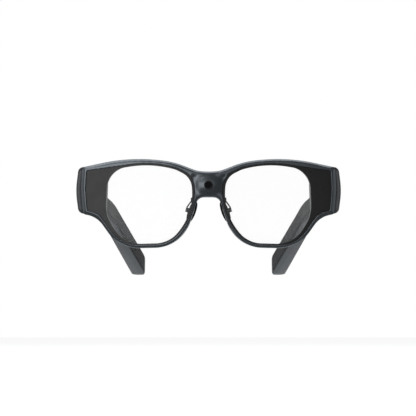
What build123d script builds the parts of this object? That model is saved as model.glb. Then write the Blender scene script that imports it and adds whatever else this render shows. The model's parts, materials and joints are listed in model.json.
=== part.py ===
"""Smart glasses with see-through displays: a full front frame with a camera in the bridge, flat opaque
side panels over the display optics, and two thick folding temples that hold the electronics.

Units are millimetres. +X is the wearer's left, +Y runs back towards the ears, +Z is up. The glasses
stand open on a table: the rims and both temple tips touch Z = 0, and the origin is under the centre of
the bounding box. The front leans forward at the top by TILT, so the front pieces are drawn on FRONT, a
plane with x across and y up the frame, and depth is measured behind it. The temples are drawn upright.
Every left piece is drawn for the wearer's left and mirrored for the right.
"""
import os
from math import atan, cos, radians, sin, tan

from build123d import *

# ---------------------------------------------------------------- driving dimensions
TILT = 12.0            # lean of the front against the vertical
FRONT_Y = -72.62       # front datum, where the rims stand
RIM_LIFT = -0.72       # brings the lowest edge of the rims to Z = 0
WRAP = 4.0             # each half of the front turns back by this angle
BRIDGE_HALF = 8.0      # half width of the part of the bridge that does not turn back

FRAME_DEPTH = 5.5      # front to back of the rim
LEDGE = 3.6            # where the lens sits, behind the front face
MASK_FACE, MASK_T = 0.6, 0.9
LENS_T = 2.0
FIT = 0.06             # gap round the pieces that are set into the frame
RIM_BEVEL = 1.3

ISLAND_W, ISLAND_H, ISLAND_RISE = 15.4, 12.2, 1.5
CAMERA_V, CAMERA_R = 35.7, 2.45
COVER_T = 0.8          # rear brow cover
BRIDGE_BACK = 8.0      # back of the bridge cover

HOUSING_IN, HOUSING_BACK = 60.5, 16.2
WALL = 1.3

HINGE_X, HINGE_Y, HINGE_Z = 67.7, 18.3, 34.0
KNUCKLE_R, PIN_R, PIN_RUN = 1.7, 0.7, 0.05
KNUCKLE_H, KNUCKLE_GAP = 3.4, 0.08
LEAF_SCREW_X = 64.6    # the front leaf's screws, one above and one below the knuckles
LEAF_SCREW_Z = (HINGE_Z - 6.4, HINGE_Z + 6.4)
TEMPLE_SCREW_Y = (24.0, 28.0)
TAP_R = 0.55           # screw hole

TEMPLE_FRONT, TEMPLE_END = 16.7, 155.2
BARREL = 1.7           # how far the end pieces and temples bulge at mid height

PAD_L, PAD_W, PAD_T = 13.0, 7.4, 2.0
PAD_X, PAD_V, PAD_D = 9.7, 20.8, 11.6
PAD_LEAN, PAD_SPLAY = 20.0, 30.0

FAR = 200.0            # longer than anything it cuts

# ---------------------------------------------------------------- planes and outlines
LEAN, DEEP = sin(radians(TILT)), cos(radians(TILT))
DATUM = (0, FRONT_Y, RIM_LIFT)
FRONT = Plane(DATUM, x_dir=(1, 0, 0), z_dir=(0, -DEEP, -LEAN))
PLAN = Plane(DATUM, x_dir=(1, 0, 0), z_dir=(0, -LEAN, DEEP))
TABLE = Plane((0, FRONT_Y, 0), x_dir=(1, 0, 0), z_dir=(0, 0, 1))
SIDE = Plane((0, FRONT_Y, 0), x_dir=(0, 1, 0), z_dir=(1, 0, 0))

# The front's outer shape at its front face, where the bevel ends, and at its back. Same corners in each.
RIDGE = [(0, 42.5), (6.3, 42.5), (20.4, 48.0), (44.4, 50.9), (70.6, 45.3), (71.2, 33), (69.9, 20.8),
         (63.4, 19.4), (54.9, 7.9), (46.4, 1.2), (19.9, 1.8), (12.4, 13.1), (6.9, 29.9), (0, 29.9)]
OUTLINE = [(0, 43.5), (6, 43.6), (20, 49.1), (44.4, 52.1), (72.4, 46.2), (73.2, 33), (71.8, 19.3),
           (64, 17.8), (56, 6.7), (46.8, -0.2), (19.5, 0.5), (11.5, 12.6), (5.9, 28.9), (0, 28.9)]
REAR = [(x + (1.0 if x > 70 else 0), v) for x, v in OUTLINE]
OUTLINE_R = [22, 47, 104, 2.0, 60, 1.6, 14, 17, 23, 21, 15, 4.5]
RIDGE_R = [22, 47, 100, 1.4, 60, 1.0, 12, 17, 21, 20, 14, 4.5]
POCKET = [(33, 49.0), (69.5, 44.2), (70.2, 33), (69.1, 21.3), (62.8, 19.9), (54.4, 8.3),
          (47.4, 1.75), (21.5, 2.5), (6.9, 20.5), (8.6, 41.2), (18.2, 45.7)]
POCKET_R = [60, 1.2, 60, 1.2, 10, 17, 17, 17, 33, 9.8, 14]
CLEAR = [(33, 48.3), (57.6, 44.3), (58.6, 18.8), (48.3, 2.3), (22.1, 3.1), (8.1, 20.6),
         (10, 40.2), (18.7, 44.6)]
CLEAR_R = [60, 12.5, 19, 17.5, 17, 34, 9.8, 14.5]
BROW = [(0, 41.9), (6.4, 42.0), (20.3, 47.3), (44.4, 50.3), (63.0, 46.4)]
BROW_R = [22, 47, 100]


def wrap(x):
    """How far the front has turned back at x."""
    return max(0.0, x - BRIDGE_HALF) * tan(radians(WRAP))


def along(x, v, d):
    """A direction given across, up the frame and behind it."""
    return Vector(x, d * DEEP - v * LEAN, d * LEAN + v * DEEP)


def at(x, v, d):
    """The point x across, v up the frame and d behind its front plane."""
    return Vector(*DATUM) + along(x, v, d)


def depth_band(front, back, x_out=90.0):
    """All of the wearer's left half between two depths behind the front, following the wrap."""
    xs = (0.0, BRIDGE_HALF, x_out)
    with BuildPart() as body:
        with BuildSketch(PLAN.offset(-5)):
            with BuildLine():
                near = [(x, front + wrap(x)) for x in xs]
                far = [(x, back + wrap(x)) for x in reversed(xs)]
                Polyline(*near, *far, close=True)
            make_face()
        extrude(amount=FAR)
    return body.part


def layer(points, radii, front, back, grow=0.0):
    """A plate of the front with a closed outline, following the wrap."""
    with BuildPart() as plate:
        with BuildSketch(FRONT.offset(8)):
            with BuildLine():
                FilletPolyline(*points, radius=radii, close=True)
            make_face()
            if grow:
                offset(amount=grow, mode=Mode.REPLACE)
        extrude(amount=-35)
        add(depth_band(front, back), mode=Mode.INTERSECT)
    return plate.part


def strip(width, front, back, x_out):
    """A strip that runs along the brow inside the top rim, following the wrap."""
    with BuildPart() as half:
        with BuildSketch(FRONT.offset(8)):
            with BuildLine():
                FilletPolyline(*BROW, radius=BROW_R)
            trace(line_width=width)
        extrude(amount=-35)
        add(depth_band(front, back, x_out), mode=Mode.INTERSECT)
        mirror(about=Plane.YZ)
    return half.part


def block(x0, x1, v0, v1, d0, d1, radius=0.0):
    """A box of the front, x and v on the front plane and d behind it."""
    with BuildPart() as box:
        with BuildSketch(FRONT.offset(-d0)):
            with Locations(((x0 + x1) / 2, (v0 + v1) / 2)):
                if radius:
                    RectangleRounded(x1 - x0, v1 - v0, radius)
                else:
                    Rectangle(x1 - x0, v1 - v0)
        extrude(amount=-(d1 - d0))
    return box.part


def upright(x0, x1, y0, y1, z0, z1):
    """An upright box, y measured behind the front datum."""
    with BuildPart() as box:
        with BuildSketch(TABLE.offset(z0)):
            with Locations(((x0 + x1) / 2, (y0 + y1) / 2)):
                Rectangle(x1 - x0, y1 - y0)
        extrude(amount=z1 - z0)
    return box.part


def post(x, y, z0, z1, radius):
    """An upright cylinder."""
    with BuildPart() as body:
        with BuildSketch(TABLE.offset(z0)):
            with Locations((x, y)):
                Circle(radius)
        extrude(amount=z1 - z0)
    return body.part


def rod(start, end, radius):
    """A cylinder between two points."""
    start, end = Vector(*start), Vector(*end)
    with BuildPart() as body:
        with BuildSketch(Plane(start, z_dir=end - start)):
            Circle(radius)
        extrude(amount=(end - start).length)
    return body.part


def write(part, name):
    part.label = name
    export_step(part, f"parts/{name}.step")


def write_pair(part, name):
    """Writes the wearer's left piece and its mirror image."""
    write(part, f"left_{name}")
    write(mirror(part, about=Plane.YZ), f"right_{name}")


def both(part):
    """A piece and its mirror image as one group."""
    return Compound(children=[part, mirror(part, about=Plane.YZ)])


os.makedirs("parts", exist_ok=True)

# ---------------------------------------------------------------- front frame
def whole_outline(plane, points, radii, depth):
    """Face of the whole front outline, both halves, at a depth behind a plane."""
    with BuildSketch(plane.offset(-depth)) as sketch:
        with BuildLine():
            FilletPolyline(*points, radius=radii)
            mirror(about=Plane.YZ)
        make_face()
    return sketch.sketch.face()


def bevelled(plane):
    """The solid front, both halves: a bevel along its front edge and ends that widen towards the back."""
    ridge = whole_outline(plane, RIDGE, RIDGE_R, 0)
    edge = whole_outline(plane, OUTLINE, OUTLINE_R, RIM_BEVEL)
    rear = whole_outline(plane, REAR, OUTLINE_R, FRAME_DEPTH + 0.2)
    with BuildPart() as whole:
        loft([ridge, edge], ruled=True)
        loft([edge, rear], ruled=True)
    return whole.part


TURN = radians(WRAP)
TURNED = Plane(at(BRIDGE_HALF, 0, 0) - along(cos(TURN), 0, sin(TURN)) * BRIDGE_HALF,
               x_dir=along(cos(TURN), 0, sin(TURN)), z_dir=along(sin(TURN), 0, -cos(TURN)))
with BuildPart() as frame:
    add(bevelled(TURNED))
    add(block(BRIDGE_HALF - 0.05, 90, -10, 60, -10, 20), mode=Mode.INTERSECT)
    with BuildPart(mode=Mode.PRIVATE) as bridge:
        add(bevelled(FRONT))
        add(block(-BRIDGE_HALF, BRIDGE_HALF, -10, 60, -10, 20), mode=Mode.INTERSECT)
    add(bridge.part)
    add(depth_band(-3, FRAME_DEPTH), mode=Mode.INTERSECT)
    add(layer(POCKET, POCKET_R, -3, LEDGE), mode=Mode.SUBTRACT)
    add(layer(CLEAR, CLEAR_R, 0, 20, grow=0.4), mode=Mode.SUBTRACT)
    add(block(62.0, 68.2, 26.0, 40.0, 3, 25), mode=Mode.SUBTRACT)       # prism window
    mirror(about=Plane.YZ)
    with BuildSketch(FRONT.offset(-0.5)):   # soft island round the camera
        with Locations((0, CAMERA_V + 0.3)):
            RectangleRounded(ISLAND_W, ISLAND_H, 3.6)
    extrude(amount=ISLAND_RISE + 0.5, taper=32)
    add(block(-4.6, 4.6, 31.6, 39.6, 3.4, 9), mode=Mode.SUBTRACT)
    add(block(-2.4, 2.4, 39.0, 42.4, 4.6, 9), mode=Mode.SUBTRACT)
    with BuildSketch(FRONT.offset(5)):
        with Locations((0, CAMERA_V)):
            Circle(CAMERA_R + 0.05)
    extrude(amount=-12, mode=Mode.SUBTRACT)
    add(strip(1.1, 3.7, 9, 61.8), mode=Mode.SUBTRACT)              # channel for the flexible cable
write(frame.part, "front_frame")

# ---------------------------------------------------------------- rear brow and bridge cover
with BuildPart() as brow:
    with BuildSketch(FRONT.offset(8)):
        with BuildLine():
            FilletPolyline(*OUTLINE, radius=OUTLINE_R)
            Line(OUTLINE[0], OUTLINE[-1])
        make_face()
        offset(amount=-0.5, mode=Mode.REPLACE)
    extrude(amount=-35)
    add(depth_band(FRAME_DEPTH, FRAME_DEPTH + COVER_T), mode=Mode.INTERSECT)
    add(layer(CLEAR, CLEAR_R, 0, 25, grow=0.9), mode=Mode.SUBTRACT)
    add(block(-1, 60.0, 39.0, 60, 0, 25), mode=Mode.INTERSECT)
    mirror(about=Plane.YZ)
    with BuildPart() as hump:
        add(block(-6.4, 6.4, 30.2, 42.4, FRAME_DEPTH, BRIDGE_BACK, 1.5))
        chamfer(hump.faces().sort_by(Axis.Y)[-1].edges(), 0.8)
    add(block(-5.2, 5.2, 31.4, 41.2, FRAME_DEPTH - 1, BRIDGE_BACK - 0.9), mode=Mode.SUBTRACT)
write(brow.part, "brow_cover")

# ---------------------------------------------------------------- camera
with BuildPart() as ring:
    with BuildSketch(FRONT.offset(ISLAND_RISE + 0.25)):
        with Locations((0, CAMERA_V)):
            Circle(CAMERA_R)
            Circle(1.75, mode=Mode.SUBTRACT)
    extrude(amount=-1.6)
    circles = ring.edges().filter_by(GeomType.CIRCLE)
    chamfer(circles.sort_by(lambda e: FRONT.to_local_coords(e.center()).Z)[-1:], 0.25)
write(ring.part, "camera_ring")
with BuildPart() as window:
    with BuildSketch(FRONT.offset(ISLAND_RISE - 0.1)):
        with Locations((0, CAMERA_V)):
            Circle(1.72)
    extrude(amount=-0.5)
write(window.part, "camera_window")
with BuildPart() as barrel:
    with BuildSketch(FRONT.offset(ISLAND_RISE - 0.75)):
        with Locations((0, CAMERA_V)):
            Circle(1.65)
            Circle(0.8, mode=Mode.SUBTRACT)
    extrude(amount=-1.2)
    with BuildSketch(FRONT.offset(ISLAND_RISE - 1.95)):
        with Locations((0, CAMERA_V)):
            Circle(2.3)
    extrude(amount=-(3.6 + ISLAND_RISE - 1.95))
write(barrel.part, "camera_barrel")
with BuildPart() as sensor:
    add(block(-4.0, 4.0, 31.9, 39.2, 3.65, 4.3))
    add(block(-2.6, 2.6, 33.0, 37.4, 4.3, 5.4))
write(sensor.part, "camera_board")

# ---------------------------------------------------------------- front flexible cable
with BuildPart() as flex:
    add(strip(0.3, 3.9, 5.2, 61.4))
    add(block(-2.0, 2.0, 41.85, 42.05, 3.9, 5.2))
    add(block(-2.0, 2.0, 38.4, 42.05, 4.9, 5.2))
    add(block(-2.0, 2.0, 38.4, 38.9, 4.35, 5.2))
write(flex.part, "front_flex")

# ---------------------------------------------------------------- lenses and opaque side panels
with BuildPart() as lens:
    add(layer(POCKET, POCKET_R, LEDGE - 0.04 - LENS_T, LEDGE - 0.04, grow=-FIT))
write_pair(lens.part, "lens")
with BuildPart() as mask:
    add(layer(POCKET, POCKET_R, MASK_FACE, MASK_FACE + MASK_T, grow=-FIT))
    add(layer(CLEAR, CLEAR_R, -1, 9), mode=Mode.SUBTRACT)
write_pair(mask.part, "side_panel")

# ---------------------------------------------------------------- display housing
# depth, widest x, top and bottom of the end piece
END_SHAPE = [(4, 70.6, 46.0, 20.0), (7.4, 73.7, 46.1, 19.8), (8.6, 75.1, 46.3, 19.6),
             (10.6, 76.3, 46.6, 19.5), (14, 77.6, 46.9, 19.6), (18, 78.6, 46.9, 19.9),
             (22, 79.3, 46.5, 20.2), (25, 79.5, 45.6, 20.4), (30, 79.5, 43.9, 20.6)]


def housing(inset):
    """The outer shape of the display housing, or its cavity when inset is more than zero."""
    with BuildPart() as body:
        for d, x, top, bottom in END_SHAPE:
            low, high, out, inner = bottom + inset, top - inset, x - inset, HOUSING_IN + inset
            with BuildSketch(FRONT.offset(-d)):
                with BuildLine():
                    FilletPolyline((inner, low), (out - BARREL, low), (out, 33), (out - BARREL, high),
                                   (inner, high), close=True,
                                   radius=[2.0, 3.2 - inset, 45, 3.2 - inset, 2.0])
                make_face()
        loft()
        with BuildSketch(SIDE.offset(50)):
            back = HOUSING_BACK - inset
            Polygon((-30, 0), (back, 0), (back, 70), (-30, 70), align=None)
        extrude(amount=40, mode=Mode.INTERSECT)
        with BuildSketch(PLAN.offset(-5)):
            with BuildLine():
                behind = FRAME_DEPTH + 0.02
                Polyline((HOUSING_IN, behind + wrap(HOUSING_IN)), (71.5, behind + wrap(71.5)),
                         (71.5, 3), (90, 3), (90, 60), (HOUSING_IN, 60), close=True)
            make_face()
        extrude(amount=FAR, mode=Mode.INTERSECT)
    return body.part


def leaf_holes(y0, y1):
    """Holes for the two screws of the front hinge leaf, between two depths."""
    ends = [(FRONT_Y + y0, FRONT_Y + y1, z) for z in LEAF_SCREW_Z]
    return [rod((LEAF_SCREW_X, near, z), (LEAF_SCREW_X, far, z), TAP_R) for near, far, z in ends]


LEAF_SEAT = upright(62.8, 70.6, HOUSING_BACK - 0.95, HOUSING_BACK + 1, HINGE_Z - 8.1, HINGE_Z + 8.1)
with BuildPart() as shell:
    add(housing(0))
    add(housing(WALL), mode=Mode.SUBTRACT)
    add(frame.part, mode=Mode.SUBTRACT)
    add(LEAF_SEAT, mode=Mode.SUBTRACT)
    add(leaf_holes(HOUSING_BACK - 4, HOUSING_BACK), mode=Mode.SUBTRACT)
write_pair(shell.part, "housing")

# ---------------------------------------------------------------- display optics inside the housing
PRISM_D = LEDGE + wrap(65) + 0.35       # depth of the prism's front face, just behind the lens
ENGINE_D = PRISM_D + 3.3
with BuildPart() as prism:
    add(block(62.4, 67.8, 27.0, 39.0, PRISM_D, PRISM_D + 3.2))
    chamfer(prism.edges().filter_by(lambda e: e.center().X > 67.7 and e.length > 10 and
                                    -FRONT.to_local_coords(e.center()).Z > PRISM_D + 3), 2.4)
write_pair(prism.part, "prism")
with BuildPart() as engine:
    add(block(62.6, 69.6, 27.4, 38.6, ENGINE_D, ENGINE_D + 3.4, 1.2))
write_pair(engine.part, "light_engine")
with BuildPart() as display:
    add(block(69.7, 70.6, 28.4, 37.6, ENGINE_D + 0.2, ENGINE_D + 3.2))
write_pair(display.part, "microdisplay")

# ---------------------------------------------------------------- hinge
MID = KNUCKLE_H / 2
LOW, HIGH = HINGE_Z - MID - KNUCKLE_GAP, HINGE_Z + MID + KNUCKLE_GAP
with BuildPart() as leaf:
    add(upright(62.9, 70.5, HOUSING_BACK - 0.9, HOUSING_BACK - 0.05, HINGE_Z - 8, HINGE_Z + 8))
    for z0, z1 in ((LOW - 3.6, LOW), (HIGH, HIGH + 3.6)):
        add(upright(HINGE_X - KNUCKLE_R, HINGE_X + 1.2, HOUSING_BACK - 0.5, HINGE_Y, z0, z1))
        add(post(HINGE_X, HINGE_Y, z0, z1, KNUCKLE_R))
    add(post(HINGE_X, HINGE_Y, 10, 60, PIN_R + 0.01), mode=Mode.SUBTRACT)
    add(leaf_holes(HOUSING_BACK - 3, HOUSING_BACK + 3), mode=Mode.SUBTRACT)
write_pair(leaf.part, "front_leaf")
with BuildPart() as pin:
    add(post(HINGE_X, HINGE_Y, LOW - 3.5, HIGH + 3.65, PIN_R))
    add(post(HINGE_X, HINGE_Y, HIGH + 3.65, HIGH + 4.3, 1.35))
    slot = upright(HINGE_X - 2, HINGE_X + 2, HINGE_Y - 0.15, HINGE_Y + 0.15, HIGH + 4.0, HIGH + 5)
    add(slot, mode=Mode.SUBTRACT)
write_pair(pin.part, "hinge_pin")


def screw(x, y, z, towards, length=2.6, head=0.95):
    """A small countersunk screw, its head at x, y, z and its thread running towards a direction."""
    start = Vector(x, FRONT_Y + y, z)
    way = Vector(*towards).normalized()
    with BuildPart() as body:
        add(rod(start, start + way * 0.5, head))
        add(rod(start + way * 0.4, start + way * length, 0.5))
        with BuildSketch(Plane(start + way * 0.25, z_dir=-way)):
            Rectangle(0.3, 3)
        extrude(amount=1, mode=Mode.SUBTRACT)
    return body.part


leaf_screws = [screw(LEAF_SCREW_X, HOUSING_BACK + 0.45, z, (0, -1, 0)) for z in LEAF_SCREW_Z]
write(Compound(children=leaf_screws + [mirror(s, about=Plane.YZ) for s in leaf_screws]), "hinge_screws")

# ---------------------------------------------------------------- nose pads
LONG = along(-sin(radians(PAD_LEAN)), cos(radians(PAD_LEAN)), 0)
FACE = LONG.cross(along(sin(radians(PAD_SPLAY)), 0, cos(radians(PAD_SPLAY)))).normalized()
if FACE.X > 0:
    FACE = -FACE
SHORT = LONG.cross(FACE).normalized()
PAD = Plane(at(PAD_X, PAD_V, PAD_D), x_dir=SHORT, z_dir=FACE)
with BuildPart() as pad:
    with BuildSketch(PAD.offset(-PAD_T / 2)):
        Ellipse(PAD_W / 2, PAD_L / 2)
    extrude(amount=PAD_T)
    fillet(pad.edges(), 0.85)
    with BuildSketch(PAD.offset(-PAD_T / 2)):
        Rectangle(2.7, 3.7)
    extrude(amount=0.85, mode=Mode.SUBTRACT)
write_pair(pad.part, "nose_pad")
BACK = PAD_T / 2
with BuildPart() as core:
    with BuildSketch(PAD.offset(-BACK)):
        Rectangle(2.6, 3.6)
    extrude(amount=0.8)
    with BuildSketch(PAD.offset(-BACK)):
        Rectangle(0.9, 1.6)
    extrude(amount=-2.0)
    with BuildSketch(Plane(PAD.origin - FACE * (BACK + 1.3) - SHORT * 3, z_dir=SHORT)):
        Circle(0.43)
    extrude(amount=6, mode=Mode.SUBTRACT)
write_pair(core.part, "pad_core")
with BuildPart() as arm:
    box_mid = PAD.origin - FACE * (BACK + 1.55)
    with BuildSketch(Plane(box_mid - FACE * 1.05, x_dir=SHORT, z_dir=FACE)):
        Rectangle(2.4, 2.6)
    extrude(amount=2.0)
    with BuildSketch(Plane(box_mid - FACE * 0.7, x_dir=SHORT, z_dir=FACE)):
        Rectangle(1.3, 3.0)
    extrude(amount=3.0, mode=Mode.SUBTRACT)
    with BuildSketch(Plane(PAD.origin - FACE * (BACK + 1.3) - SHORT * 3, z_dir=SHORT)):
        Circle(0.37)
    extrude(amount=6, mode=Mode.SUBTRACT)
    base = box_mid - FACE * 1.35
    with BuildLine() as wire:
        Spline(at(9.2, 27.4, 5.8), at(9.3, 27.4, 7.6), at(10.9, 25.6, 9.8), base + LONG * 1.5, base,
               tangents=[along(0, 0, 1), -LONG])
    with BuildSketch(Plane(wire.line @ 0, z_dir=wire.line % 0)):
        Circle(0.42)
    sweep(path=wire.line)
    add(block(8.3, 10.2, 26.4, 28.9, FRAME_DEPTH + 0.1, FRAME_DEPTH + 0.7, 0.6))
write_pair(arm.part, "pad_arm")
with BuildPart() as pad_screw:
    mid = PAD.origin - FACE * (BACK + 1.3)
    add(rod(mid - SHORT * 1.45, mid + SHORT * 1.2, 0.36))
    add(rod(mid + SHORT * 1.2, mid + SHORT * 1.6, 0.62))
write(both(pad_screw.part), "pad_screws")

# ---------------------------------------------------------------- temples
INNER_LINE = [(16.7, 70.2), (80.5, 65.0), (155.2, 50.3)]        # y, x of the side next to the head
OUTER_LINE = [(16.7, 79.4), (80.5, 74.0), (155.2, 61.6)]
BOTTOM_LINE = [(16.7, 23.8), (33.0, 27.4), (58.0, 28.3), (80.9, 26.2), (147.0, 0.0), (155.2, -3.0)]
TOP_LINE = [(16.7, 49.0), (49.4, 42.3), (77.5, 42.6), (155.2, 14.0)]


def on_line(line, y):
    """Straight-line reading of a side line at y, carried on past its ends."""
    for (y0, a0), (y1, a1) in zip(line, line[1:]):
        if y <= y1 or (y1, a1) == line[-1]:
            return a0 + (a1 - a0) * (y - y0) / (y1 - y0)


def eased(line, y, reach=9.0):
    """The same reading with the bends eased over a length."""
    steps = [reach * k / 6 for k in range(-6, 7)]
    return sum(on_line(line, y + step) for step in steps) / len(steps)


def temple_section(y, squeeze=0.0):
    """Cross-section of the temple: inner bottom corner well rounded, the outer face bulging."""
    x0, x1 = eased(INNER_LINE, y) + squeeze, eased(OUTER_LINE, y) - squeeze
    z0, z1 = eased(BOTTOM_LINE, y, 5.0) + squeeze, eased(TOP_LINE, y) - squeeze
    bulge = BARREL * (z1 - z0) / 25
    big = 0.25 * (z1 - z0) / tan(atan(2 * bulge / (z1 - z0)))
    return FilletPolyline((x0, z0), (x1 - bulge, z0), (x1, (z0 + z1) / 2), (x1 - bulge, z1), (x0, z1),
                          close=True, radius=[4.2 - squeeze / 2, 2.0 + squeeze / 2, big, 2.6, 2.0])


STATIONS = [(y, 0.0) for y in (TEMPLE_FRONT, 28, 40, 50, 62, 72, 80, 88, 98, 112, 128, 140, 147)]
TIP = [(151.5, 0.25), (154.1, 1.2), (TEMPLE_END, 2.4)]          # y and how far the section is squeezed


def temple_body():
    """The solid outer shape of a temple."""
    with BuildPart() as body:
        for y, squeeze in STATIONS + TIP:
            with BuildSketch(Plane((0, FRONT_Y + y, 0), x_dir=(1, 0, 0), z_dir=(0, -1, 0))):
                with BuildLine():
                    temple_section(y, squeeze)
                make_face()
        loft()
    return body.part


def temple_slab(inset, near, far, y0, y1, low=0.0):
    """A layer of the temple seen from the side, between two offsets from its inner face."""
    ys = [y for y in (33.0, 49.4, 58.0, 77.5, 80.9) if y0 < y < y1]
    ys = [y0] + ys + [y1]
    top = [(y, on_line(TOP_LINE, y) - inset) for y in ys]
    bottom = [(y, max(on_line(BOTTOM_LINE, y), 0) + inset + low) for y in ys]
    with BuildPart() as slab:
        with BuildSketch(SIDE):
            with BuildLine():
                Polyline(*bottom, *reversed(top), close=True)
            make_face()
        extrude(amount=100)
        with BuildSketch(TABLE.offset(-5)):
            with BuildLine():
                bends = [y for y, x in INNER_LINE if y0 - 1 < y < y1 + 1]
                xs = [(on_line(INNER_LINE, y), y) for y in [y0 - 1] + bends + [y1 + 1]]
                inner = [(x + near, y) for x, y in xs]
                outer = [(x + far, y) for x, y in reversed(xs)]
                Polyline(*inner, *outer, close=True)
            make_face()
        extrude(amount=100, mode=Mode.INTERSECT)
    return slab.part


def across(y, z, x0, x1, radius):
    """A cylinder that lies across the glasses."""
    return rod((x0, FRONT_Y + y, z), (x1, FRONT_Y + y, z), radius)


BODY = temple_body()
COVER_Y0, COVER_Y1 = 24.0, 147.0
KNUCKLE_ROOM = upright(66, 72.8, HINGE_Y - 1.3, HINGE_Y + 1.3, HINGE_Z - MID - 0.15, HINGE_Z + MID + 0.15)
with BuildPart() as temple_shell:
    add(BODY)
    add(temple_slab(2.0, 1.25, 7.2, 18.2, 88.0, low=0.6), mode=Mode.SUBTRACT)     # electronics bay
    add(temple_slab(2.4, 1.25, 8.2, 88.0, 146.0, low=0.8), mode=Mode.SUBTRACT)    # battery bay
    add(temple_slab(1.4, -3, 1.3, COVER_Y0, COVER_Y1, low=2.4), mode=Mode.SUBTRACT)
    add(KNUCKLE_ROOM, mode=Mode.SUBTRACT)
    add(upright(40, 90, 130, 158, -6, 0), mode=Mode.SUBTRACT)     # flat foot under the tip
    for y in (53.6, 55.8, 58.0, 60.2, 62.4):                       # speaker port, aimed at the ear
        x, z = on_line(INNER_LINE, y), on_line(BOTTOM_LINE, y)
        add(rod((x - 1, FRONT_Y + y, z - 1), (x + 3.4, FRONT_Y + y, z + 3.4), 0.6), mode=Mode.SUBTRACT)
    for y in TEMPLE_SCREW_Y:                                       # bosses for the hinge leaf
        add(across(y, HINGE_Z, 72.75, 77.2, 1.3))
        add(across(y, HINGE_Z, 72.7, 75.2, TAP_R), mode=Mode.SUBTRACT)
with BuildPart() as inner_cover:
    add(BODY)
    add(temple_slab(1.4 + FIT, -3, 1.2, COVER_Y0 + FIT, COVER_Y1 - FIT, low=2.4), mode=Mode.INTERSECT)

with BuildPart() as t_leaf:
    add(post(HINGE_X, HINGE_Y, HINGE_Z - MID, HINGE_Z + MID, KNUCKLE_R))
    add(upright(HINGE_X, 72.2, HINGE_Y - 1.1, HINGE_Y + 1.1, HINGE_Z - MID, HINGE_Z + MID))
    add(upright(71.7, 72.7, HINGE_Y, 30.0, HINGE_Z - 4, HINGE_Z + 4))
    add(post(HINGE_X, HINGE_Y, 10, 60, PIN_R + PIN_RUN), mode=Mode.SUBTRACT)
    for y in TEMPLE_SCREW_Y:
        add(across(y, HINGE_Z, 70, 75, TAP_R), mode=Mode.SUBTRACT)
        add(across(y, HINGE_Z, 70, 72.3, 1.0), mode=Mode.SUBTRACT)
write_pair(t_leaf.part, "temple_leaf")
t_screws = [screw(71.75, y, HINGE_Z, (1, 0, 0)) for y in TEMPLE_SCREW_Y]
write(Compound(children=t_screws), "left_temple_screws")
write(Compound(children=[mirror(s, about=Plane.YZ) for s in t_screws]), "right_temple_screws")

write_pair(temple_slab(4.6, 4.9, 5.7, 33.0, 78.0, low=0.4), "circuit_board")
with BuildPart() as cell:
    add(temple_slab(3.4, 1.9, 6.4, 92.0, 138.0, low=1.2))
    fillet(cell.edges().filter_by(lambda e: abs((e % 0.5).Y) > 0.8), 0.8)
write_pair(cell.part, "battery")
with BuildPart() as speaker:
    add(upright(69.5, 71.0, 51.5, 64.5, 32.0, 39.0))
    add(upright(69.0, 69.6, 53.5, 62.5, 33.2, 37.8))
write_pair(speaker.part, "speaker")

# ---------------------------------------------------------------- button, touch strip and contacts
BUTTON_X, BUTTON_Y = 73.2, 38.0
BUTTON_Z = on_line(BOTTOM_LINE, BUTTON_Y)


def slot_post(length, width, z0, height):
    """An upright post of slot shape where the power button is, in line with the temple."""
    with BuildPart() as body:
        with BuildSketch(TABLE.offset(BUTTON_Z + z0)):
            with Locations((BUTTON_X, BUTTON_Y)):
                SlotOverall(length, width, rotation=95)
        extrude(amount=height)
    return body.part


with BuildPart() as button:
    add(slot_post(9, 3.0, -0.35, 3.4))
    add(slot_post(10.4, 4.2, 2.95, 0.6))       # flange that keeps it in
write(mirror(button.part, about=Plane.YZ), "power_button")
switch = upright(71.9, 74.5, BUTTON_Y - 2, BUTTON_Y + 2, BUTTON_Z + 4.0, BUTTON_Z + 4.9)
write(mirror(switch, about=Plane.YZ), "button_switch")
touch = temple_slab(4.4, 6.9, 7.15, 33.0, 74.0, low=1.0)
write(mirror(touch, about=Plane.YZ), "touch_strip")
contacts, contact_holes = [], []
for y in (118.0, 121.6, 125.2):
    x, z = on_line(INNER_LINE, y), on_line(BOTTOM_LINE, y) + 8.0
    contacts.append(across(y, z, x + 0.2, x + 1.7, 0.9))
    contact_holes.append(across(y, z, x - 5, x + 5, 0.95))
write(Compound(children=[mirror(c, about=Plane.YZ) for c in contacts]), "charging_contacts")

# ---------------------------------------------------------------- temple shells and covers
with BuildPart() as right_cover:
    add(inner_cover.part)
    add(contact_holes, mode=Mode.SUBTRACT)
with BuildPart() as right_shell:
    add(temple_shell.part)
    add(slot_post(9.4, 3.4, -2, 8), mode=Mode.SUBTRACT)
write(inner_cover.part, "left_temple_cover")
write(mirror(right_cover.part, about=Plane.YZ), "right_temple_cover")
write(temple_shell.part, "left_temple_shell")
write(mirror(right_shell.part, about=Plane.YZ), "right_temple_shell")
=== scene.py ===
"""Smart glasses: looks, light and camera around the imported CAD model. Metres, Z up."""
import json
import math

import bmesh
import bpy
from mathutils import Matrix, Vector
from mathutils.bvhtree import BVHTree


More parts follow.
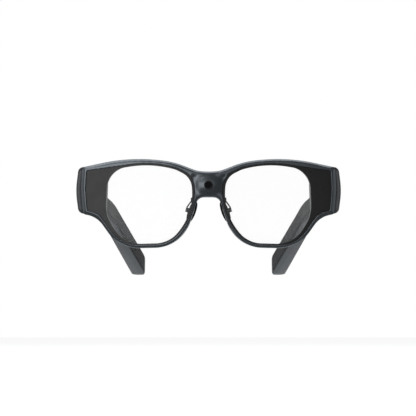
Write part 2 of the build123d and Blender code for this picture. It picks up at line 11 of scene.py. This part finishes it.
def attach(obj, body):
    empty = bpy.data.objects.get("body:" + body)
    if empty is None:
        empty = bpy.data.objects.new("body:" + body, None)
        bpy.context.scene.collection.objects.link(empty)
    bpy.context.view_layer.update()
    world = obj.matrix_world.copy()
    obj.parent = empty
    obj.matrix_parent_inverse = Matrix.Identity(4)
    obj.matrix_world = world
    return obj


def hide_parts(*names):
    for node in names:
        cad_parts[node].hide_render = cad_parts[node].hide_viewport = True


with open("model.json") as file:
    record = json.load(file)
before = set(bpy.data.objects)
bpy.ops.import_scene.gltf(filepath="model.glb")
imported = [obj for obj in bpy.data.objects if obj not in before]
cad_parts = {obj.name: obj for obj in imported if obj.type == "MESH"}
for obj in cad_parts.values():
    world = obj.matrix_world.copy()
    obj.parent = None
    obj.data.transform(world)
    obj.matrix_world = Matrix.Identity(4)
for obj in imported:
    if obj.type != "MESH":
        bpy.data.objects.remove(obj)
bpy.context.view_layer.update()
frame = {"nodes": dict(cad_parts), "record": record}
nodes = frame["nodes"]
scene = bpy.context.scene
scene.view_settings.view_transform = "Standard"
MM = 0.001

# ---------------------------------------------------------------- the leaning front
TILT = math.radians(12.0)
LEAN, DEEP = math.sin(TILT), math.cos(TILT)
FRONT_Y, RIM_LIFT = -72.62, -0.72       # the front's datum line, as in the CAD source


def at(x, v, d):
    """The point x across, v up the front and d behind it, in metres."""
    return Vector((x, FRONT_Y + d * DEEP - v * LEAN, RIM_LIFT + d * LEAN + v * DEEP)) * MM


def along(x, v, d):
    """A step across, up the front and behind it, in metres."""
    return Vector((x, d * DEEP - v * LEAN, d * LEAN + v * DEEP)) * MM


def local(point):
    """A point of the model as millimetres across, up the front and behind it."""
    x, y, z = (c / MM for c in point)
    y, z = y - FRONT_Y, z - RIM_LIFT
    return x, z * DEEP - y * LEAN, y * DEEP + z * LEAN


# ---------------------------------------------------------------- materials
class Nodes:
    """A short way to write a node material."""

    def __init__(self, name):
        self.mat = bpy.data.materials.new(name)
        self.mat.use_nodes = True
        self.tree = self.mat.node_tree
        self.bsdf = self.tree.nodes["Principled BSDF"]

    def new(self, kind):
        return self.tree.nodes.new(kind)

    def link(self, out, to):
        self.tree.links.new(out, to)

    def noise(self, scale, detail, rough=0.55):
        """Noise in the piece's own space, so that it stays on the piece when it moves."""
        coord = self.new("ShaderNodeTexCoord")
        node = self.new("ShaderNodeTexNoise")
        node.inputs["Scale"].default_value = scale
        node.inputs["Detail"].default_value = detail
        node.inputs["Roughness"].default_value = rough
        self.link(coord.outputs["Object"], node.inputs["Vector"])
        return node.outputs["Fac"]

    def ramp(self, value, low, high):
        """A number that runs from low to high with the middle of the noise's range."""
        node = self.new("ShaderNodeMapRange")
        node.inputs["From Min"].default_value = 0.3
        node.inputs["From Max"].default_value = 0.7
        node.inputs["To Min"].default_value = low
        node.inputs["To Max"].default_value = high
        self.link(value, node.inputs["Value"])
        return node.outputs["Result"]

    def mix(self, value, dark, light):
        """A colour that runs from dark to light with the middle of the noise's range."""
        node = self.new("ShaderNodeValToRGB")
        for stop, place, colour in zip(node.color_ramp.elements, (0.35, 0.65), (dark, light)):
            stop.position = place
            stop.color = (*colour, 1)
        self.link(value, node.inputs["Fac"])
        return node.outputs["Color"]

    def bump(self, value, strength, distance):
        node = self.new("ShaderNodeBump")
        node.inputs["Strength"].default_value = strength
        node.inputs["Distance"].default_value = distance
        self.link(value, node.inputs["Height"])
        self.link(node.outputs["Normal"], self.bsdf.inputs["Normal"])

    def set(self, **values):
        for key, value in values.items():
            self.bsdf.inputs[key.replace("_", " ")].default_value = value


CLOUDS, GLOSS_CLOUDS = 70, 180      # noise scale of the slight changes in colour and in gloss
SPREAD = 0.06                       # how far the colour changes
GRAIN_DEPTH = 0.00002


def painted(name, colour, metal, rough, grain=3600, bump=0.05, specular=0.5):
    """A sprayed or moulded finish: fine grain, slight colour and gloss variation."""
    m = Nodes(name)
    dark = tuple(c * (1 - SPREAD) for c in colour)
    light = tuple(c * (1 + SPREAD) for c in colour)
    m.link(m.mix(m.noise(CLOUDS, 3), dark, light), m.bsdf.inputs["Base Color"])
    m.link(m.ramp(m.noise(GLOSS_CLOUDS, 5), rough - 0.04, rough + 0.05), m.bsdf.inputs["Roughness"])
    m.bump(m.noise(grain, 2, 0.6), bump, GRAIN_DEPTH)
    m.set(Metallic=metal, Specular_IOR_Level=specular)
    return m.mat


def clear(name, tint, alpha):
    """Glass or clear plastic, thin enough not to bend what is seen through it."""
    m = Nodes(name)
    light = tuple(min(1, c * 1.02) for c in tint)
    m.link(m.mix(m.noise(25, 2), tint, light), m.bsdf.inputs["Base Color"])
    m.link(m.ramp(m.noise(60, 3), 0.02, 0.035), m.bsdf.inputs["Roughness"])
    m.set(Alpha=alpha, IOR=1.5)
    return m.mat


finish = {
    "frame": painted("satin_frame", (0.145, 0.161, 0.176), 0.9, 0.3),
    "temple": painted("satin_temple", (0.066, 0.072, 0.078), 0.8, 0.34),
    "inner_cover": painted("matte_inner", (0.018, 0.0185, 0.0195), 0.0, 0.42, specular=0.3),
    "panel": painted("panel_black", (0.014, 0.014, 0.0145), 0.0, 0.3, grain=6000, bump=0.02, specular=0.4),
    "lens": clear("lens_clear", (0.95, 0.97, 0.98), 0.03),
    "optics": clear("optic_glass", (0.8, 0.86, 0.9), 0.35),
    "camera": painted("camera_glass", (0.002, 0.002, 0.003), 0.0, 0.12, grain=800, bump=0.0, specular=0.12),
    "ring": painted("camera_ring_black", (0.006, 0.006, 0.007), 0.0, 0.35, specular=0.3),
    "module": painted("module_black", (0.012, 0.012, 0.013), 0.0, 0.45, specular=0.3),
    "flex": painted("flex_film", (0.25, 0.1, 0.02), 0.0, 0.35),
    "board": painted("board_green", (0.01, 0.06, 0.03), 0.0, 0.4),
    "steel": painted("fine_steel", (0.3, 0.3, 0.31), 1.0, 0.3),
    "silicone": painted("silicone_black", (0.006, 0.006, 0.0065), 0.0, 0.42, specular=0.3),
    "battery": painted("battery_foil", (0.5, 0.5, 0.52), 1.0, 0.35),
    "gold": painted("contact_gold", (0.7, 0.48, 0.16), 1.0, 0.25),
    "button": painted("button_black", (0.02, 0.021, 0.023), 0.0, 0.4),
}
dark_wire = painted("dark_wire", (0.11, 0.11, 0.115), 1.0, 0.32)
for entry in frame["record"]["subparts"]:
    node = nodes[entry["node"]]
    node.data.materials.clear()
    node.data.materials.append(finish[entry["material_slot"]])
for name in ("left_pad_arm", "right_pad_arm"):
    nodes[name].data.materials[0] = dark_wire

# ---------------------------------------------------------------- tools for the moulded shapes
FRONT_VOXEL, TEMPLE_VOXEL = 0.25 * MM, 0.4 * MM
KEPT_FACES = 0.45           # the share of the even mesh that is kept where it is thinned


def ease(value, low, high):
    """0 below low, 1 above high and a smooth rise between them."""
    t = min(1.0, max(0.0, (value - low) / (high - low)))
    return t * t * (3 - 2 * t)


def baked(obj):
    """Applies every modifier of a piece to its mesh."""
    mesh = bpy.data.meshes.new_from_object(obj.evaluated_get(bpy.context.evaluated_depsgraph_get()))
    obj.modifiers.clear()
    obj.data = mesh


def smoothed(piece, passes, weight=None):
    """Smooths a piece, all over or by a weight worked out for each point."""
    smooth = piece.modifiers.new("smooth", "SMOOTH")
    smooth.factor, smooth.iterations = 0.5, passes
    if weight:
        group = piece.vertex_groups.new(name="soft")
        for vertex in piece.data.vertices:
            amount = weight(vertex.co)
            if amount > 0:
                group.add([vertex.index], amount, "REPLACE")
        smooth.vertex_group = group.name
    baked(piece)
    piece.vertex_groups.clear()


def moulded(name, voxel, passes):
    """A copy of a CAD node, evenly meshed and with its sharp edges softened as they come out of a mould."""
    mesh = nodes[name].data.copy()
    bm = bmesh.new()
    bm.from_mesh(mesh)
    bmesh.ops.remove_doubles(bm, verts=bm.verts, dist=0.001 * MM)
    bm.to_mesh(mesh)
    bm.free()
    piece = bpy.data.objects.new(name + "_moulded", mesh)
    scene.collection.objects.link(piece)
    remesh = piece.modifiers.new("remesh", "REMESH")
    remesh.mode, remesh.voxel_size, remesh.use_smooth_shade = "VOXEL", voxel, True
    baked(piece)
    smoothed(piece, passes)
    return piece


def stand_in(piece, name, body, slot):
    """Thins the mesh of a piece where it is flat and puts the piece in the place of a CAD node."""
    thin = piece.modifiers.new("thin", "DECIMATE")
    thin.ratio = KEPT_FACES
    baked(piece)
    piece.data.materials.clear()
    piece.data.materials.append(finish[slot])
    piece.data.shade_smooth()
    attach(piece, body)
    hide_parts(name)


def surface_tree(*names):
    """Finds the nearest point on some CAD nodes."""
    points, faces = [], []
    for name in names:
        mesh = nodes[name].data
        faces += [[len(points) + i for i in face.vertices] for face in mesh.polygons]
        points += [vertex.co.copy() for vertex in mesh.vertices]
    return BVHTree.FromPolygons(points, faces)


# ---------------------------------------------------------------- front frame
CAMERA_V, CAMERA_HOLE = 35.7, 2.45      # height and radius of the camera hole
DOME_V, DOME_HALF = 36.0, (8.4, 6.9)    # height, half width and half height of the raised bridge
DOME_RISE = 1.5
SIDE_TURN = 0.9                         # how far the bridge falls back beside the lenses
BRIDGE_HALF = 10.0
BRIDGE_LOW, BRIDGE_HIGH = 28.8, 43.4
SKIN = 0.3                              # the front face lies less deep than this
END_X = 66.0                            # the flat end pieces start here


def from_camera_hole(x, v):
    """Distance from the middle of the camera hole."""
    return math.hypot(x, v - CAMERA_V)


def raise_bridge(piece):
    """Swells the bridge into one soft dome round the camera, which falls back beside the lenses."""
    for vertex in piece.data.vertices:
        x, v, d = local(vertex.co)
        on_bridge = abs(x) < BRIDGE_HALF and BRIDGE_LOW < v < BRIDGE_HIGH and d < SKIN
        if on_bridge and from_camera_hole(x, v) > CAMERA_HOLE - 0.1:
            out = math.hypot(x / DOME_HALF[0], (v - DOME_V) / DOME_HALF[1])
            height = -DOME_RISE * (1 - ease(out, 0.3, 1.0))
            height += SIDE_TURN * ease(abs(x), 5.2, 9.0) * ease(v, 29.5, 32) * ease(42.5 - v, 0, 2.5)
            blend = 1 - ease(abs(x), 9.2, BRIDGE_HALF)
            vertex.co += along(0, 0, (height - d) * blend * ease(SKIN - d, 0, 0.25))


def outer_edge(point):
    """Where the front is rounded most: away from the lenses, the camera and the flat end pieces."""
    x, v, d = local(point)
    off_lens = ease(lens_edge.find_nearest(point)[3] / MM, 0.5, 1.5)
    off_camera = ease(from_camera_hole(x, v), 2.6, 3.4)
    return off_lens * off_camera * ease(END_X - abs(x), 0, 6) * ease(5.0 - d, 0, 1)


def dome(point):
    """The raised bridge, short of the rim of the camera hole."""
    x, v, d = local(point)
    inside = (1 - ease(abs(x), 8.6, 9.6)) * ease(v, 29.5, 31) * ease(43 - v, 0, 1.5)
    return inside * ease(1.5 - d, 0, 0.6) * ease(from_camera_hole(x, v), 2.5, 3.3)


lens_edge = surface_tree("left_side_panel", "right_side_panel")
front = moulded("front_frame", FRONT_VOXEL, 6)
raise_bridge(front)
smoothed(front, 40, outer_edge)
smoothed(front, 70, dome)
stand_in(front, "front_frame", "front", "frame")

# ---------------------------------------------------------------- temple shells
TIP_FROM, TIP_FULL = 72.0, 79.0     # the last stretch of the temple, where it is rounded more


def tip(point):
    """The end of the temple."""
    return ease(point.y / MM, TIP_FROM, TIP_FULL)


for side in ("left", "right"):
    shell = moulded(side + "_temple_shell", TEMPLE_VOXEL, 3)
    smoothed(shell, 30, tip)
    stand_in(shell, side + "_temple_shell", side + "_temple", "temple")

# ---------------------------------------------------------------- floor
FLOOR_GLOW = 0.85           # the bright sweep under a product shot
FLOOR_FRONT, FLOOR_SIZE, FLOOR_HEIGHT = -0.22, 20.0, -0.075
FLOOR_GREY = (0.86, 0.86, 0.86)


def sweep(name):
    """The pale sweep that the glasses are shown over, from a near edge back."""
    near = [(x, FLOOR_FRONT) for x in (-FLOOR_SIZE, FLOOR_SIZE)]
    far = [(x, FLOOR_SIZE) for x in (FLOOR_SIZE, -FLOOR_SIZE)]
    mesh = bpy.data.meshes.new(name)
    mesh.from_pydata([(x, y, FLOOR_HEIGHT) for x, y in near + far], [], [(0, 1, 2, 3)])
    obj = bpy.data.objects.new(name, mesh)
    scene.collection.objects.link(obj)
    m = Nodes(name + "_paint")
    light = tuple(c * 1.01 for c in FLOOR_GREY)
    m.link(m.mix(m.noise(3, 2), FLOOR_GREY, light), m.bsdf.inputs["Base Color"])
    m.set(Roughness=0.8, Emission_Color=(1, 1, 1, 1), Emission_Strength=FLOOR_GLOW)
    mesh.materials.append(m.mat)
    obj.visible_glossy = False      # as over a dark gap: only the cards show in the satin finish


sweep("floor")

# ---------------------------------------------------------------- light
AMBIENT = (0.1, 0.103, 0.107, 1)
MIX_FACTOR, MIX_A, MIX_B, MIX_RESULT = 0, 6, 7, 2       # sockets of a Mix node that mixes colours

world = bpy.data.worlds.new("studio")
scene.world = world
world.use_nodes = True
sky = world.node_tree
background = sky.nodes["Background"]
path = sky.nodes.new("ShaderNodeLightPath")
backdrop = sky.nodes.new("ShaderNodeMix")       # white behind the glasses, dim in what they reflect
backdrop.data_type = "RGBA"
backdrop.inputs[MIX_A].default_value = AMBIENT
backdrop.inputs[MIX_B].default_value = (1, 1, 1, 1)
sky.links.new(path.outputs["Is Camera Ray"], backdrop.inputs[MIX_FACTOR])
sky.links.new(backdrop.outputs[MIX_RESULT], background.inputs["Color"])
background.inputs["Strength"].default_value = 1.0


def card(name, place, target, size, radiance):
    """A soft light panel of an even brightness."""
    data = bpy.data.lights.new(name, "AREA")
    data.shape = "RECTANGLE"
    data.size, data.size_y = size
    data.energy = radiance * math.pi * size[0] * size[1]
    obj = bpy.data.objects.new(name, data)
    obj.location = place
    obj.rotation_euler = (Vector(target) - Vector(place)).to_track_quat("-Z", "Y").to_euler()
    obj.visible_camera = False
    scene.collection.objects.link(obj)


card("front", (0.0, -0.62, 0.0), (0, 0, 0.03), (0.42, 0.4), 0.4)
card("left_front", (-0.23, -0.40, -0.02), (-0.05, -0.07, 0.03), (0.28, 0.22), 1.6)
card("key", (-0.5, -0.5, 0.6), (0, 0, 0.02), (0.6, 0.6), 2.2)
card("top", (0.0, -0.05, 0.8), (0, 0, 0.02), (1.0, 0.7), 1.8)
card("under", (0.0, 0.16, -0.07), (0, 0.16, 0.0), (0.3, 0.34), 0.9)
card("left_side", (-0.9, 0.2, 0.14), (0, 0, 0.03), (0.7, 0.6), 0.7)
card("right_side", (0.9, 0.2, 0.14), (0, 0, 0.03), (0.7, 0.6), 0.55)
card("back", (0.0, 1.0, 0.2), (0, 0, 0.03), (0.8, 0.5), 0.6)

# ---------------------------------------------------------------- camera
SENSOR_MM, LENS_MM = 36.0, 52.356
CAMERA_AT = at(-0.34, 22.9, -340)       # square to the front and 340 mm before it

camera_data = bpy.data.cameras.new("camera")
camera_data.sensor_width, camera_data.lens = SENSOR_MM, LENS_MM
camera_data.clip_start = 0.01
camera = bpy.data.objects.new("camera", camera_data)
camera.location = CAMERA_AT
camera.rotation_euler = along(0, 0, 1).to_track_quat("-Z", "Y").to_euler()
scene.collection.objects.link(camera)
scene.camera = camera
